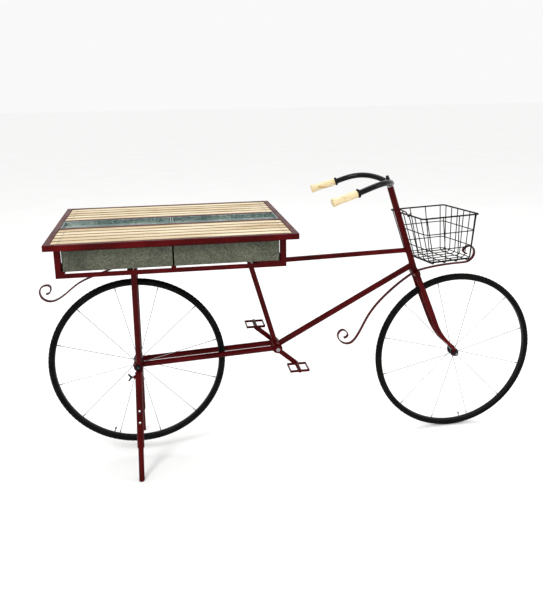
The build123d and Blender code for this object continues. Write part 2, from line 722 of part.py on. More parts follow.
with BuildPart() as rear_axle:
    rod(point(REAR_AXLE, y=-REAR_AXLE_HALF), point(REAR_AXLE, y=REAR_AXLE_HALF), AXLE_RADIUS)
rear_axle.part.label = "rear_axle"
export_step(rear_axle.part, "parts/rear_axle.step")

with BuildPart() as rear_axle_nuts:
    axle_nuts(REAR_AXLE, LUG_OUTER)
rear_axle_nuts.part.label = "rear_axle_nuts"
export_step(rear_axle_nuts.part, "parts/rear_axle_nuts.step")

# ---- front wheel ----
FRONT_HUB_HALF = 16
FRONT_AXLE_HALF = 43
with BuildPart() as front_tyre:
    tyre(FRONT_AXLE)
front_tyre.part.label = "front_tyre"
export_step(front_tyre.part, "parts/front_tyre.step")

with BuildPart() as front_rim:
    rim(FRONT_AXLE)
front_rim.part.label = "front_rim"
export_step(front_rim.part, "parts/front_rim.step")

with BuildPart() as front_spokes:
    spokes(FRONT_AXLE, FRONT_HUB_HALF - 1.5, 15)
front_spokes.part.label = "front_spokes"
export_step(front_spokes.part, "parts/front_spokes.step")

with BuildPart() as front_hub:
    hub(FRONT_AXLE, FRONT_HUB_HALF)
front_hub.part.label = "front_hub"
export_step(front_hub.part, "parts/front_hub.step")

with BuildPart() as front_bearings:
    bearings(FRONT_AXLE, FRONT_HUB_HALF)
front_bearings.part.label = "front_bearings"
export_step(front_bearings.part, "parts/front_bearings.step")

with BuildPart() as front_axle:
    rod(point(FRONT_AXLE, y=-FRONT_AXLE_HALF), point(FRONT_AXLE, y=FRONT_AXLE_HALF), AXLE_RADIUS)
front_axle.part.label = "front_axle"
export_step(front_axle.part, "parts/front_axle.step")

with BuildPart() as front_axle_nuts:
    axle_nuts(FRONT_AXLE, BLADE_Y + 3)
front_axle_nuts.part.label = "front_axle_nuts"
export_step(front_axle_nuts.part, "parts/front_axle_nuts.step")

# ---- fork and steering ----
CROWN_HEIGHT = 16
CROWN_DEPTH = 24
CROWN_HALF = 35


def crown_block(mode=Mode.ADD):
    """The cross block at the foot of the steerer."""
    with Locations(HEAD.offset(-CROWN_HEIGHT / 2)):
        Box(CROWN_DEPTH, 2 * CROWN_HALF, CROWN_HEIGHT, mode=mode)


with BuildPart() as fork_crown:
    crown_block()
    bar_on_head(-CROWN_HEIGHT, STEM_TOP - 4, STEERER_RADIUS)
    bar_on_head(-CROWN_HEIGHT - 5, STEM_TOP, STEERER_RADIUS - 3, Mode.SUBTRACT)
fork_crown.part.label = "fork_crown"
export_step(fork_crown.part, "parts/fork_crown.step")

BLADE_TOP = (483.5, 725)
BLADE_BEND = (576.5, 492)
BLADE_END = (663.5, 379)
with BuildPart() as fork_blades:
    for side in SIDES:
        y = side * BLADE_Y
        with BuildLine(Plane.XZ.offset(-y)) as blade_path:
            straight = Line(BLADE_TOP, BLADE_BEND)
            TangentArc(BLADE_BEND, BLADE_END, tangent=straight % 1)
        blade_start = Plane(origin=blade_path.line @ 0, z_dir=blade_path.line % 0)
        with BuildSketch(blade_start) as blade_section:
            Circle(BLADE_RADIUS)
        sweep(blade_section.sketch, path=blade_path.line)
        rod((BLADE_END[0], y, BLADE_END[1]), point(FRONT_AXLE, y=y), 6)
        ball((BLADE_END[0], y, BLADE_END[1]), BLADE_RADIUS)
        low, high = sorted((y - 3, y + 3))
        rod(point(FRONT_AXLE, y=low), point(FRONT_AXLE, y=high), 14)
    for side in SIDES:
        outer_low = side * (BLADE_Y + 3)
        rod(point(FRONT_AXLE, y=outer_low), point(FRONT_AXLE, y=outer_low + side * 20), 14, Mode.SUBTRACT)
        inner_low = side * (BLADE_Y - 3)
        rod(point(FRONT_AXLE, y=inner_low), point(FRONT_AXLE, y=inner_low - side * 20), 14, Mode.SUBTRACT)
    rod(point(FRONT_AXLE, y=-60), point(FRONT_AXLE, y=60), AXLE_RADIUS + 0.02, Mode.SUBTRACT)
    crown_block(Mode.SUBTRACT)
    with Locations(HEAD):
        Box(80, 100, 80, align=BASE, mode=Mode.SUBTRACT)
fork_blades.part.label = "fork_blades"
export_step(fork_blades.part, "parts/fork_blades.step")

with BuildPart() as stem_tube:
    bar_on_head(HEAD_TUBE_TOP + 4.4, STEM_TOP, HEAD_RADIUS)
    bar_on_head(HEAD_TUBE_TOP, STEM_TOP + 5, STEERER_RADIUS + 0.02, Mode.SUBTRACT)
stem_tube.part.label = "stem_tube"
export_step(stem_tube.part, "parts/stem_tube.step")

with BuildPart() as bar_clamp:
    bar_on_head(STEM_TOP, CLAMP_HEIGHT, HEAD_RADIUS)
    rod(point(BAR_CENTRE, y=-18), point(BAR_CENTRE, y=18), CLAMP_RADIUS)
    rod(point(BAR_CENTRE, y=-30), point(BAR_CENTRE, y=30), BAR_RADIUS + 0.02, Mode.SUBTRACT)
bar_clamp.part.label = "bar_clamp"
export_step(bar_clamp.part, "parts/bar_clamp.step")

BOLT_SEAT = CLAMP_HEIGHT + CLAMP_RADIUS
with BuildPart() as stem_bolt:
    bar_on_head(BOLT_SEAT - 2, BOLT_SEAT + 8, 7.5)
    with BuildSketch(HEAD.offset(BOLT_SEAT + 8)) as bolt_head:
        RegularPolygon(6.5, 6)
    extrude(bolt_head.sketch, amount=8)
    rod(point(BAR_CENTRE, y=-30), point(BAR_CENTRE, y=30), CLAMP_RADIUS, Mode.SUBTRACT)
stem_bolt.part.label = "stem_bolt"
export_step(stem_bolt.part, "parts/stem_bolt.step")

with BuildPart() as handlebar:
    for side in SIDES:
        bar_half(side)
handlebar.part.label = "handlebar"
export_step(handlebar.part, "parts/handlebar.step")


def grip_point(side, along):
    """A point on the straight end of the handlebar, along from the collar."""
    collar = point(COLLAR, y=side * COLLAR_Y)
    end = point(BAR_END, y=side * BAR_END_Y)
    run = Vector(*end) - Vector(*collar)
    return between(collar, end, along / run.length)


with BuildPart() as bar_collars:
    for side in SIDES:
        rod(grip_point(side, 0), grip_point(side, 9), 15)
        rod(grip_point(side, 3), grip_point(side, 6), 17.5)
        rod(grip_point(side, -1), grip_point(side, 20), BAR_RADIUS + 0.02, Mode.SUBTRACT)
bar_collars.part.label = "bar_collars"
export_step(bar_collars.part, "parts/bar_collars.step")

GRIP_START = 9.2
GRIP_LENGTH = 104
with BuildPart() as grips:
    for side in SIDES:
        start = grip_point(side, GRIP_START)
        run = Vector(*grip_point(side, 100)) - Vector(*start)
        side_plane = Plane(origin=start, x_dir=run, z_dir=run.cross(Vector(0, 0, 1)))
        with BuildSketch(side_plane) as profile:
            with BuildLine():
                Polyline((0, 0), (0, 13), (4, 14.5))
                Spline((4, 14.5), (55, 14), (90, 15.5), (98, 17))
                ThreePointArc((98, 17), (102.5, 15.5), (GRIP_LENGTH, 11))
                Polyline((GRIP_LENGTH, 11), (GRIP_LENGTH, 0), (0, 0))
            make_face()
        revolve(profile.sketch, axis=Axis(start, run), revolution_arc=360)
        rod(grip_point(side, 0), grip_point(side, 106.5), BAR_RADIUS + 0.02, Mode.SUBTRACT)
grips.part.label = "grips"
export_step(grips.part, "parts/grips.step")

TRAILING_SCROLL = (
    (474, 712),
    (379.5, 642),
    (287.5, 538),
    (242.5, 455),
    (207.5, 422),
    (171.5, 433),
    (158.5, 466),
    (178.5, 484),
    (200.5, 463),
    (183.5, 448),
)
with BuildPart() as trailing_scroll:
    scroll(TRAILING_SCROLL, 14, 5)
    crown_block(Mode.SUBTRACT)
    with Locations(HEAD):
        Box(80, 100, 80, align=BASE, mode=Mode.SUBTRACT)
trailing_scroll.part.label = "trailing_scroll"
export_step(trailing_scroll.part, "parts/trailing_scroll.step")

LEADING_SCROLL = (
    (488, 721),
    (543.5, 733),
    (633.5, 744),
    (693.5, 747),
    (715.5, 750),
    (743.5, 778),
    (741, 804),
    (726.5, 817),
    (706, 813),
    (695, 798),
    (702.5, 788),
    (712.5, 785),
)
with BuildPart() as leading_scroll:
    scroll(LEADING_SCROLL, 14, 5)
    crown_block(Mode.SUBTRACT)
    bar_on_head(-30, 60, 16, Mode.SUBTRACT)
leading_scroll.part.label = "leading_scroll"
export_step(leading_scroll.part, "parts/leading_scroll.step")

# ---- wire basket ----
with BuildPart() as basket_rim:
    for number, corner in enumerate(RIM_CORNERS):
        rod(corner, RIM_CORNERS[(number + 1) % 4], RIM_WIRE)
        ball(corner, RIM_WIRE)
basket_rim.part.label = "basket_rim"
export_step(basket_rim.part, "parts/basket_rim.step")

with BuildPart() as basket_sides:
    for number in range(4):
        basket_panel(number)
    for number, corner in enumerate(RIM_CORNERS):
        rod(corner, RIM_CORNERS[(number + 1) % 4], RIM_WIRE, Mode.SUBTRACT)
basket_sides.part.label = "basket_sides"
export_step(basket_sides.part, "parts/basket_sides.step")

with BuildPart() as basket_floor:
    for part in wire_parts(LONG_SIDE_WIRES):
        across_low = between(FLOOR_CORNERS[0], FLOOR_CORNERS[1], part)
        across_high = between(FLOOR_CORNERS[3], FLOOR_CORNERS[2], part)
        rod(point(across_low, z=-2), point(across_high, z=-2), SIDE_WIRE)
    for part in wire_parts(SHORT_SIDE_WIRES):
        along_low = between(FLOOR_CORNERS[0], FLOOR_CORNERS[3], part)
        along_high = between(FLOOR_CORNERS[1], FLOOR_CORNERS[2], part)
        rod(point(along_low, z=-2), point(along_high, z=-2), SIDE_WIRE)
basket_floor.part.label = "basket_floor"
export_step(basket_floor.part, "parts/basket_floor.step")

with BuildPart() as basket_hooks:
    for y in (-30, 24):
        start = (392, y / 3, 995)
        over = (BASKET_RIM_MID[0] - 137 - y * 0.216, y, BASKET_RIM_MID[1] + 9)
        below = point(over, x=9, z=-18)
        tip = point(over, x=20, z=-4)
        rod(start, over, 2.5)
        ball(over, 2.5)
        rod(over, below, 2.5)
        ball(below, 2.5)
        rod(below, tip, 2.5)
        ball(tip, 2.5)
    bar_on_head(100, 350, HEAD_RADIUS, Mode.SUBTRACT)
    add(basket_rim.part, mode=Mode.SUBTRACT)
    add(basket_sides.part, mode=Mode.SUBTRACT)
basket_hooks.part.label = "basket_hooks"
export_step(basket_hooks.part, "parts/basket_hooks.step")

# ---- cranks and pedals ----
with BuildPart() as crank_spindle:
    rod(point(BRACKET, y=-56), point(BRACKET, y=56), SPINDLE_RADIUS)
crank_spindle.part.label = "crank_spindle"
export_step(crank_spindle.part, "parts/crank_spindle.step")

with BuildPart() as near_crank:
    crank_arm(-1)
near_crank.part.label = "near_crank"
export_step(near_crank.part, "parts/near_crank.step")

with BuildPart() as far_crank:
    crank_arm(1)
far_crank.part.label = "far_crank"
export_step(far_crank.part, "parts/far_crank.step")

with BuildPart() as near_pedal:
    pedal(-1)
near_pedal.part.label = "near_pedal"
export_step(near_pedal.part, "parts/near_pedal.step")

with BuildPart() as far_pedal:
    pedal(1)
far_pedal.part.label = "far_pedal"
export_step(far_pedal.part, "parts/far_pedal.step")
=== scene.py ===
import json
from math import cos, radians, sin, sqrt, tau

import bpy
from mathutils import Matrix, Vector, noise


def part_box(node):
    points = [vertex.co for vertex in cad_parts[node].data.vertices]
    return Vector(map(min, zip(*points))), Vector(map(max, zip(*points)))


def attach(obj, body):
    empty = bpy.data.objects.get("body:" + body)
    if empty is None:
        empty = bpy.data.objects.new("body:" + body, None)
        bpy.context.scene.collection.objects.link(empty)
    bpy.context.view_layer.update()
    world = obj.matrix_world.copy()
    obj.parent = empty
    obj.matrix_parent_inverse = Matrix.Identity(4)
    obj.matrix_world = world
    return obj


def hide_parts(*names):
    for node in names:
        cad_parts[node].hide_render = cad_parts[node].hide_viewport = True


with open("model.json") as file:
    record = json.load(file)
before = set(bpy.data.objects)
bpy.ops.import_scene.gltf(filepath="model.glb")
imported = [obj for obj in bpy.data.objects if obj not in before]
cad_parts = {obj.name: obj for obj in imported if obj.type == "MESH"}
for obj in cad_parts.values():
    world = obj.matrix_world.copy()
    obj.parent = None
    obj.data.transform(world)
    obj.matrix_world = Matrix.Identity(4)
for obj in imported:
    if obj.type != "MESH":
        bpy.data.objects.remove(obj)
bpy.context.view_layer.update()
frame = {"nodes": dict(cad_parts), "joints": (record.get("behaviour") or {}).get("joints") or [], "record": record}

scene = bpy.context.scene
nodes = frame["nodes"]
joints = {joint["name"]: joint for joint in frame["joints"]}
record = frame["record"]


# ---- places read from the frame ----
def middle(node):
    """The middle of a CAD node's box."""
    low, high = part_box(node)
    return (Vector(low) + Vector(high)) / 2


REAR_AXLE = middle("rear_axle")
FRONT_AXLE = middle("front_axle")
BRACKET = middle("bb_shell")
HEAD_FOOT = Vector(joints["steering_turn"]["pos_m"])
HEAD_UP = Vector(joints["steering_turn"]["axis"]).normalized()
TABLE_LOW, TABLE_HIGH = (Vector(corner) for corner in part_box("table_rails"))
SIDES = (-1, 1)

# ---- sizes in metres ----
WHEEL_RADIUS = 0.350
TYRE_WIDTH = 0.028
RIM_OUTER = 0.330
RIM_INNER = 0.323
RIM_HALF = 0.011
PAN_HEM = 0.0022
SCREW_ROWS = (-0.89, -0.122)
SLATS_PER_SIDE = 5
SLAT_WIDTH = 0.045
SLAT_GAP = 0.0035


# ---- materials ----
class Shader:
    """A node material built up by short calls."""

    def __init__(self, name):
        self.material = bpy.data.materials.new(name)
        self.material.use_nodes = True
        self.tree = self.material.node_tree
        self.surface = self.tree.nodes["Principled BSDF"]
        self.place = self.node("ShaderNodeTexCoord").outputs["Object"]

    def node(self, kind, **settings):
        made = self.tree.nodes.new(kind)
        for key, value in settings.items():
            setattr(made, key, value)
        return made

    def link(self, source, target):
        self.tree.links.new(source, target)

    def set(self, **values):
        for key, value in values.items():
            self.surface.inputs[key.replace("_", " ")].default_value = value
        return self

    def stretched(self, scale, place=None):
        """Coordinates scaled by different amounts along X, Y and Z."""
        mapping = self.node("ShaderNodeMapping")
        mapping.inputs["Scale"].default_value = scale
        self.link(place or self.place, mapping.inputs["Vector"])
        return mapping.outputs["Vector"]

    def noise(self, scale, detail=4.0, roughness=0.55, place=None, distortion=0.0):
        made = self.node("ShaderNodeTexNoise")
        made.inputs["Scale"].default_value = scale
        made.inputs["Detail"].default_value = detail
        made.inputs["Roughness"].default_value = roughness
        made.inputs["Distortion"].default_value = distortion
        self.link(place or self.place, made.inputs["Vector"])
        return made.outputs["Fac"]

    def cells(self, scale, place=None):
        made = self.node("ShaderNodeTexVoronoi")
        made.inputs["Scale"].default_value = scale
        self.link(place or self.place, made.inputs["Vector"])
        return made

    def ramp(self, source, stops):
        made = self.node("ShaderNodeValToRGB")
        points = made.color_ramp.elements
        while len(points) < len(stops):
            points.new(0.5)
        for element, (position, colour) in zip(points, stops):
            element.position = position
            element.color = (*colour, 1)
        self.link(source, made.inputs["Fac"])
        return made.outputs["Color"]

    def grey(self, source, low, high, start=0.0, end=1.0):
        made = self.node("ShaderNodeMapRange")
        made.inputs["From Min"].default_value = start
        made.inputs["From Max"].default_value = end
        made.inputs["To Min"].default_value = low
        made.inputs["To Max"].default_value = high
        self.link(source, made.inputs["Value"])
        return made.outputs["Result"]

    def mix(self, factor, first, second, blend="MIX"):
        made = self.node("ShaderNodeMix", data_type="RGBA", blend_type=blend)
        sockets = {"factor": made.inputs[0], "a": made.inputs[6], "b": made.inputs[7]}
        for key, value in (("factor", factor), ("a", first), ("b", second)):
            if isinstance(value, bpy.types.NodeSocket):
                self.link(value, sockets[key])
            elif key == "factor":
                sockets[key].default_value = value
            else:
                sockets[key].default_value = (*value, 1)
        return made.outputs[2]

    def math(self, operation, first, second):
        made = self.node("ShaderNodeMath", operation=operation)
        for socket, value in zip(made.inputs, (first, second)):
            if isinstance(value, bpy.types.NodeSocket):
                self.link(value, socket)
            else:
                socket.default_value = value
        return made.outputs[0]

    def colour(self, source):
        self.link(source, self.surface.inputs["Base Color"])
        return self

    def rough(self, source, low, high, start=0.3, end=0.7):
        self.link(self.grey(source, low, high, start, end), self.surface.inputs["Roughness"])
        return self

    def bump(self, source, strength, distance):
        made = self.node("ShaderNodeBump")
        made.inputs["Strength"].default_value = strength
        made.inputs["Distance"].default_value = distance
        self.link(source, made.inputs["Height"])
        self.link(made.outputs["Normal"], self.surface.inputs["Normal"])
        return self


def red_paint():
    """Maroon paint with faint orange peel, patches of dust and small worn spots."""
    s = Shader("red_paint")
    shades = (
        (0.3, (0.030, 0.0004, 0.0006)),
        (0.52, (0.054, 0.0008, 0.0014)),
        (0.72, (0.084, 0.0018, 0.0026)),
    )
    shade = s.ramp(s.noise(9, 5), shades)
    dust = s.ramp(s.noise(38, 8, 0.7), ((0.58, (0, 0, 0)), (0.8, (1, 1, 1))))
    tinted = s.mix(s.math("MULTIPLY", dust, 0.06), shade, (0.16, 0.03, 0.025))
    chips = s.ramp(s.noise(160, 3, 0.6), ((0.74, (0, 0, 0)), (0.77, (1, 1, 1))))
    s.colour(s.mix(s.math("MULTIPLY", chips, 0.55), tinted, (0.04, 0.025, 0.022)))
    s.rough(s.noise(24, 4), 0.24, 0.40)
    s.set(Coat_Weight=0.02, Coat_Roughness=0.08, Specular_IOR_Level=0.05)
    return s.bump(s.noise(420, 2), 0.12, 0.0006).material


def pine():
    """Pale pine boards: each has its own tone and grain, with painted shade on their sides in the gaps."""
    s = Shader("pine")
    board = s.node("ShaderNodeAttribute", attribute_name="board").outputs["Fac"]
    shifted = s.node("ShaderNodeVectorMath", operation="ADD")
    offset = s.node("ShaderNodeCombineXYZ")
    for key, amount in (("X", 3.7), ("Y", 1.9), ("Z", 5.3)):
        s.link(s.math("MULTIPLY", board, amount), offset.inputs[key])
    s.link(s.place, shifted.inputs[0])
    s.link(offset.outputs["Vector"], shifted.inputs[1])
    place = shifted.outputs["Vector"]
    rings = s.noise(1.0, 3, 0.5, s.stretched((1.6, 40, 40), place), 1.4)
    fibre = s.noise(1.0, 6, 0.65, s.stretched((9, 420, 420), place))
    grain_tones = (
        (0.32, (0.64, 0.57, 0.42)),
        (0.46, (0.76, 0.72, 0.58)),
        (0.58, (0.42, 0.32, 0.18)),
        (0.72, (0.70, 0.63, 0.48)),
    )
    grain = s.ramp(rings, grain_tones)
    fine = s.mix(s.grey(fibre, 0.0, 0.6, 0.4, 0.75), grain, (0.40, 0.29, 0.16))
    tone = s.ramp(board, ((0.0, (1.0, 0.97, 0.92)), (0.5, (0.93, 0.88, 0.80)), (1.0, (1.06, 1.0, 0.96))))
    toned = s.mix(1.0, fine, tone, "MULTIPLY")
    knots = s.cells(1.0, s.stretched((5, 19, 19), place)).outputs["Distance"]
    knot_mask = s.ramp(knots, ((0.05, (1, 1, 1)), (0.11, (0, 0, 0))))
    knotted = s.mix(s.math("MULTIPLY", knot_mask, 0.7), toned, (0.30, 0.15, 0.06))
    # Painted shade: faces that turn away from straight up, the boards' sides in the gaps, are mixed towards dark
    # brown (0.16, 0.095, 0.045) so the gaps read as dark lines
    split = s.node("ShaderNodeSeparateXYZ")
    s.link(s.node("ShaderNodeNewGeometry").outputs["Normal"], split.inputs[0])
    top_without_painted_shade = s.grey(split.outputs["Z"], 0.0, 1.0, 0.3, 0.95)
    s.colour(s.mix(top_without_painted_shade, (0.16, 0.095, 0.045), knotted))
    s.rough(fibre, 0.5, 0.68)
    s.set(Specular_IOR_Level=0.35)
    return s.bump(fibre, 0.25, 0.0006).material


def grip_wood():
    """Pale turned wood with grain along the grip."""
    s = Shader("grip_wood")
    rings = s.noise(1.0, 3, 0.5, s.stretched((12, 120, 70)), 1.2)
    fibre = s.noise(1.0, 5, 0.6, s.stretched((30, 700, 500)))
    grain_tones = (
        (0.3, (0.62, 0.48, 0.25)),
        (0.5, (0.70, 0.59, 0.36)),
        (0.68, (0.44, 0.27, 0.09)),
    )
    grain = s.ramp(rings, grain_tones)
    s.colour(s.mix(s.grey(fibre, 0.0, 0.45, 0.45, 0.8), grain, (0.52, 0.32, 0.13)))
    s.rough(fibre, 0.32, 0.5)
    s.set(Coat_Weight=0.25, Coat_Roughness=0.2)
    return s.bump(fibre, 0.2, 0.0004).material


def zinc(name, tones, metallic, roughness):
    """Galvanised sheet: fine mottling, cloudy patches and soft pale streaks that run down it."""
    dark, mid, light = tones
    s = Shader(name)
    fine = s.cells(210).outputs["Color"]
    tone = s.node("ShaderNodeRGBToBW")
    s.link(fine, tone.inputs[0])
    cloud = s.noise(6, 8, 0.62, distortion=0.5)
    grit = s.noise(150, 6, 0.7)
    blended = s.mix(0.22, s.mix(0.35, cloud, grit), tone.outputs[0])
    patches = s.ramp(blended, ((0.39, dark), (0.5, mid), (0.63, light)))
    streak = s.ramp(s.noise(1.0, 4, 0.6, s.stretched((34, 34, 4))), ((0.5, (0, 0, 0)), (0.72, (1, 1, 1))))
    s.colour(s.mix(s.math("MULTIPLY", streak, 0.25), patches, light))
    s.rough(cloud, roughness - 0.1, roughness + 0.12)
    s.set(Metallic=metallic, Specular_IOR_Level=0.3)
    return s.bump(grit, 0.08, 0.0005).material


def rubber():
    """Black tyre rubber with a faint bloom."""
    s = Shader("tyre_rubber")
    bloom = s.noise(26, 6, 0.65)
    s.colour(s.ramp(bloom, ((0.35, (0.0015, 0.0015, 0.0015)), (0.7, (0.006, 0.006, 0.0055)))))
    s.rough(bloom, 0.45, 0.68)
    s.set(Specular_IOR_Level=0.04)
    return s.bump(s.noise(900, 2), 0.2, 0.0003).material


def black_enamel(name, roughness, tint=(0.003, 0.003, 0.0033), coat=0.08):
    """Black paint or coating with a fine uneven gloss."""
    s = Shader(name)
    cloud = s.noise(60, 5)
    lighter = tuple(channel * 1.9 for channel in tint)
    s.colour(s.ramp(cloud, ((0.35, tint), (0.75, lighter))))
    s.rough(cloud, roughness - 0.08, roughness + 0.1)
    s.set(Coat_Weight=coat, Coat_Roughness=0.12, Specular_IOR_Level=0.06)
    return s.bump(s.noise(700, 2), 0.1, 0.0003).material


def plated(name, tone, roughness):
    """Dull plated steel with faint brushing and a little tarnish."""
    s = Shader(name)
    brushed = s.noise(1.0, 4, 0.6, s.stretched((300, 60, 300)))
    tarnish = s.noise(45, 5, 0.6)
    darker = tuple(channel * 0.72 for channel in tone)
    s.colour(s.ramp(tarnish, ((0.3, darker), (0.6, tone))))
    s.rough(brushed, roughness, roughness + 0.14)
    s.set(Metallic=1.0)
    return s.bump(brushed, 0.04, 0.0002).material


SHEET_TONES = ((0.036, 0.040, 0.027), (0.066, 0.071, 0.048), (0.118, 0.122, 0.088))
PAN_TONES = ((0.080, 0.130, 0.125), (0.18, 0.240, 0.225), (0.40, 0.46, 0.42))

MATERIALS = {
    "red_paint": red_paint(),
    "pine": pine(),
    "galvanised_sheet": zinc("galvanised_sheet", SHEET_TONES, 0.25, 0.55),
    "zinc_pan": zinc("zinc_pan", PAN_TONES, 0.4, 0.45),
    "tyre_rubber": rubber(),
    "rim_black": black_enamel("rim_black", 0.35),
    "spoke_steel": plated("spoke_steel", (0.30, 0.31, 0.32), 0.22),
    "hub_black": black_enamel("hub_black", 0.4, (0.010, 0.010, 0.011)),
    "plated_steel": plated("plated_steel", (0.27, 0.27, 0.28), 0.26),
    "black_fastener": black_enamel("black_fastener", 0.38, (0.009, 0.0085, 0.0085)),
    "bar_black": black_enamel("bar_black", 0.22, (0.002, 0.0022, 0.0022), 0.15),
    "grip_wood": grip_wood(),
    "black_wire": black_enamel("black_wire", 0.5, (0.002, 0.0019, 0.0018), 0.0),
    "dark_plastic": black_enamel("dark_plastic", 0.48, (0.006, 0.006, 0.0065), 0.0),
}


# ---- carried-over CAD nodes ----
def dress_cad_nodes():
    """Gives every CAD node the finish of its slot."""
    slots = {part["node"]: part["material_slot"] for part in record["subparts"]}
    for name, piece in nodes.items():
        material = MATERIALS[slots[name]]
        if piece.material_slots:
            for place in piece.material_slots:
                place.material = material
        else:
            piece.data.materials.append(material)


SQUARE_EDGED = (
    "table_rails",
    "box_rails",
    "box_posts",
    "cross_members",
    "drawer_runners",
    "slat_bearers",
    "near_crank",
    "far_crank",
    "near_pedal",
    "far_pedal",
    "rear_scroll",
    "trailing_scroll",
    "leading_scroll",
)


def soften_edges():
    """Rounds the sharp edges of square bar and flat strip a little, as rolled steel has."""
    for name in SQUARE_EDGED:
        bevel = nodes[name].modifiers.new("rolled_edge", "BEVEL")
        bevel.width = 0.0008
        bevel.segments = 2
        bevel.limit_method = "ANGLE"
        bevel.angle_limit = radians(40)


# ---- mesh helpers ----
def piece(name, vertices, faces, slot, body, smooth=True):
    """A mesh piece with its finish that rides on a body."""
    mesh = bpy.data.meshes.new(name)
    mesh.from_pydata([tuple(vertex) for vertex in vertices], [], faces)
    mesh.validate()
    for face in mesh.polygons:
        face.use_smooth = smooth
    mesh.materials.append(MATERIALS[slot])
    made = bpy.data.objects.new(name, mesh)
    scene.collection.objects.link(made)
    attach(made, body)
    return made


def wire(name, lines, radius, slot, body, cyclic=False, resolution=3):
    """Round wires, each along its list of points."""
    curve = bpy.data.curves.new(name, "CURVE")
    curve.dimensions = "3D"
    curve.bevel_depth = radius
    curve.bevel_resolution = resolution
    curve.use_fill_caps = True
    for points in lines:
        spline = curve.splines.new("POLY")
        spline.points.add(len(points) - 1)
        for place, point in zip(spline.points, points):
            place.co = (*point, 1)
        spline.use_cyclic_u = cyclic
        spline.use_smooth = True
    curve.materials.append(MATERIALS[slot])
    made = bpy.data.objects.new(name, curve)
    scene.collection.objects.link(made)
    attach(made, body)
    return made


def turned(centre, profile, steps, ripple=None):
    """Vertices and faces of a closed profile of (radius, y) turned about a wheel's axle."""
    count = len(profile)
    vertices = []
    for step in range(steps):
        angle = tau * step / steps
        for number, (radius, y) in enumerate(profile):
            out = radius + (ripple(step, number) if ripple else 0.0)
            vertices.append(centre + Vector((out * cos(angle), y, out * sin(angle))))
    faces = []
    for step in range(steps):
        here = step * count
        there = (step + 1) % steps * count
        for number in range(count):
            after = (number + 1) % count
            faces.append((here + number, here + after, there + after, there + number))
    return vertices, faces


# ---- wheels ----
def tyre_profile():
    """Half-round tyre section with a raised tread, two grooves and a bead line on each wall."""
    half = TYRE_WIDTH / 2
    mid_radius = WHEEL_RADIUS - half
    points = []
    for step in range(29):
        angle = radians(-62 + 304 * step / 28)
        lift = 0.0
        if step in (10, 11, 17, 18):
            lift = -0.0011
        if step in (3, 25):
            lift = 0.0004
        reach = half - 0.0004 + lift
        points.append((mid_radius + reach * sin(angle), -reach * cos(angle)))
    return points


def build_tyre(name, axle, body, node):
    """A tyre with a block tread cut across its crown."""
    def tread(step, number):
        return -0.0007 if step % 3 == 0 and 9 <= number <= 19 else 0.0

    vertices, faces = turned(axle, tyre_profile(), 360, tread)
    made = piece(name, vertices, faces, "tyre_rubber", body)
    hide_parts(node)


def build_rim(name, axle, body, node):
    """A box-section rim with hooked edges and a shallow valley facing the hub."""
    outer, inner, half = RIM_OUTER, RIM_INNER, RIM_HALF
    profile = (
        (outer - 0.0006, half),
        (outer - 0.0006, half - 0.0016),
        (outer - 0.0038, half - 0.003),
        (outer - 0.0045, 0.0),
        (outer - 0.0038, -half + 0.003),
        (outer - 0.0006, -half + 0.0016),
        (outer - 0.0006, -half),
        (inner + 0.003, -half),
        (inner + 0.001, -half + 0.002),
        (inner + 0.0002, -half + 0.005),
        (inner + 0.0012, 0.0),
        (inner + 0.0002, half - 0.005),
        (inner + 0.001, half - 0.002),
        (inner + 0.003, half),
    )
    vertices, faces = turned(axle, profile, 240)
    made = piece(name, vertices, faces, "rim_black", body)
    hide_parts(node)


def build_valve(name, axle, body, angle):
    """The tyre's valve stem, pointing at the hub, with a dark cap."""
    out = Vector((cos(radians(angle)), 0, sin(radians(angle))))
    stem = [axle + out * radius for radius in (0.3235, 0.306)]
    cap = [axle + out * radius for radius in (0.3075, 0.303, 0.299)]
    wire(name + "_stem", [stem], 0.0022, "plated_steel", body)
    wire(name + "_cap", [cap], 0.0031, "dark_plastic", body)


# ---- wooden tabletop ----
def board(vertices, faces, tones, low, high, tone, seed):
    """One slat: a long board with eased edges, faintly uneven sides and ends."""
    ease = 0.0016
    stations = 14
    section = []
    for y_sign, z_sign in ((-1, -1), (1, -1), (1, 1), (-1, 1)):
        for turn in range(3):
            angle = radians(45 * turn)
            cuts = (1 - sin(angle), 1 - cos(angle))
            dy, dz = cuts if y_sign == z_sign else reversed(cuts)
            section.append((y_sign, z_sign, dy * ease, dz * ease))
    first = len(vertices)
    for station in range(stations + 1):
        along = station / stations
        shrink = ease * 0.6 if station in (0, stations) else 0.0
        x = low.x + (high.x - low.x) * along
        for y_sign, z_sign, dy, dz in section:
            y = (high.y if y_sign > 0 else low.y) - y_sign * (dy + shrink)
            z = (high.z if z_sign > 0 else low.z) - z_sign * (dz + shrink)
            wobble = noise.noise(Vector((x * 6, seed * 3.1, y_sign * 2.0))) * 0.0005
            y -= y_sign * abs(wobble)
            z -= 0.0004 * abs(noise.noise(Vector((x * 9, seed * 5.7, 1.3)))) if z_sign > 0 else 0.0
            vertices.append(Vector((x, y, z)))
            tones.append(tone)
    count = len(section)
    for station in range(stations):
        here = first + station * count
        for number in range(count):
            after = (number + 1) % count
            faces.append((here + number, here + after, here + count + after, here + count + number))
    faces.append(tuple(first + number for number in reversed(range(count))))
    last = first + stations * count
    faces.append(tuple(last + number for number in range(count)))


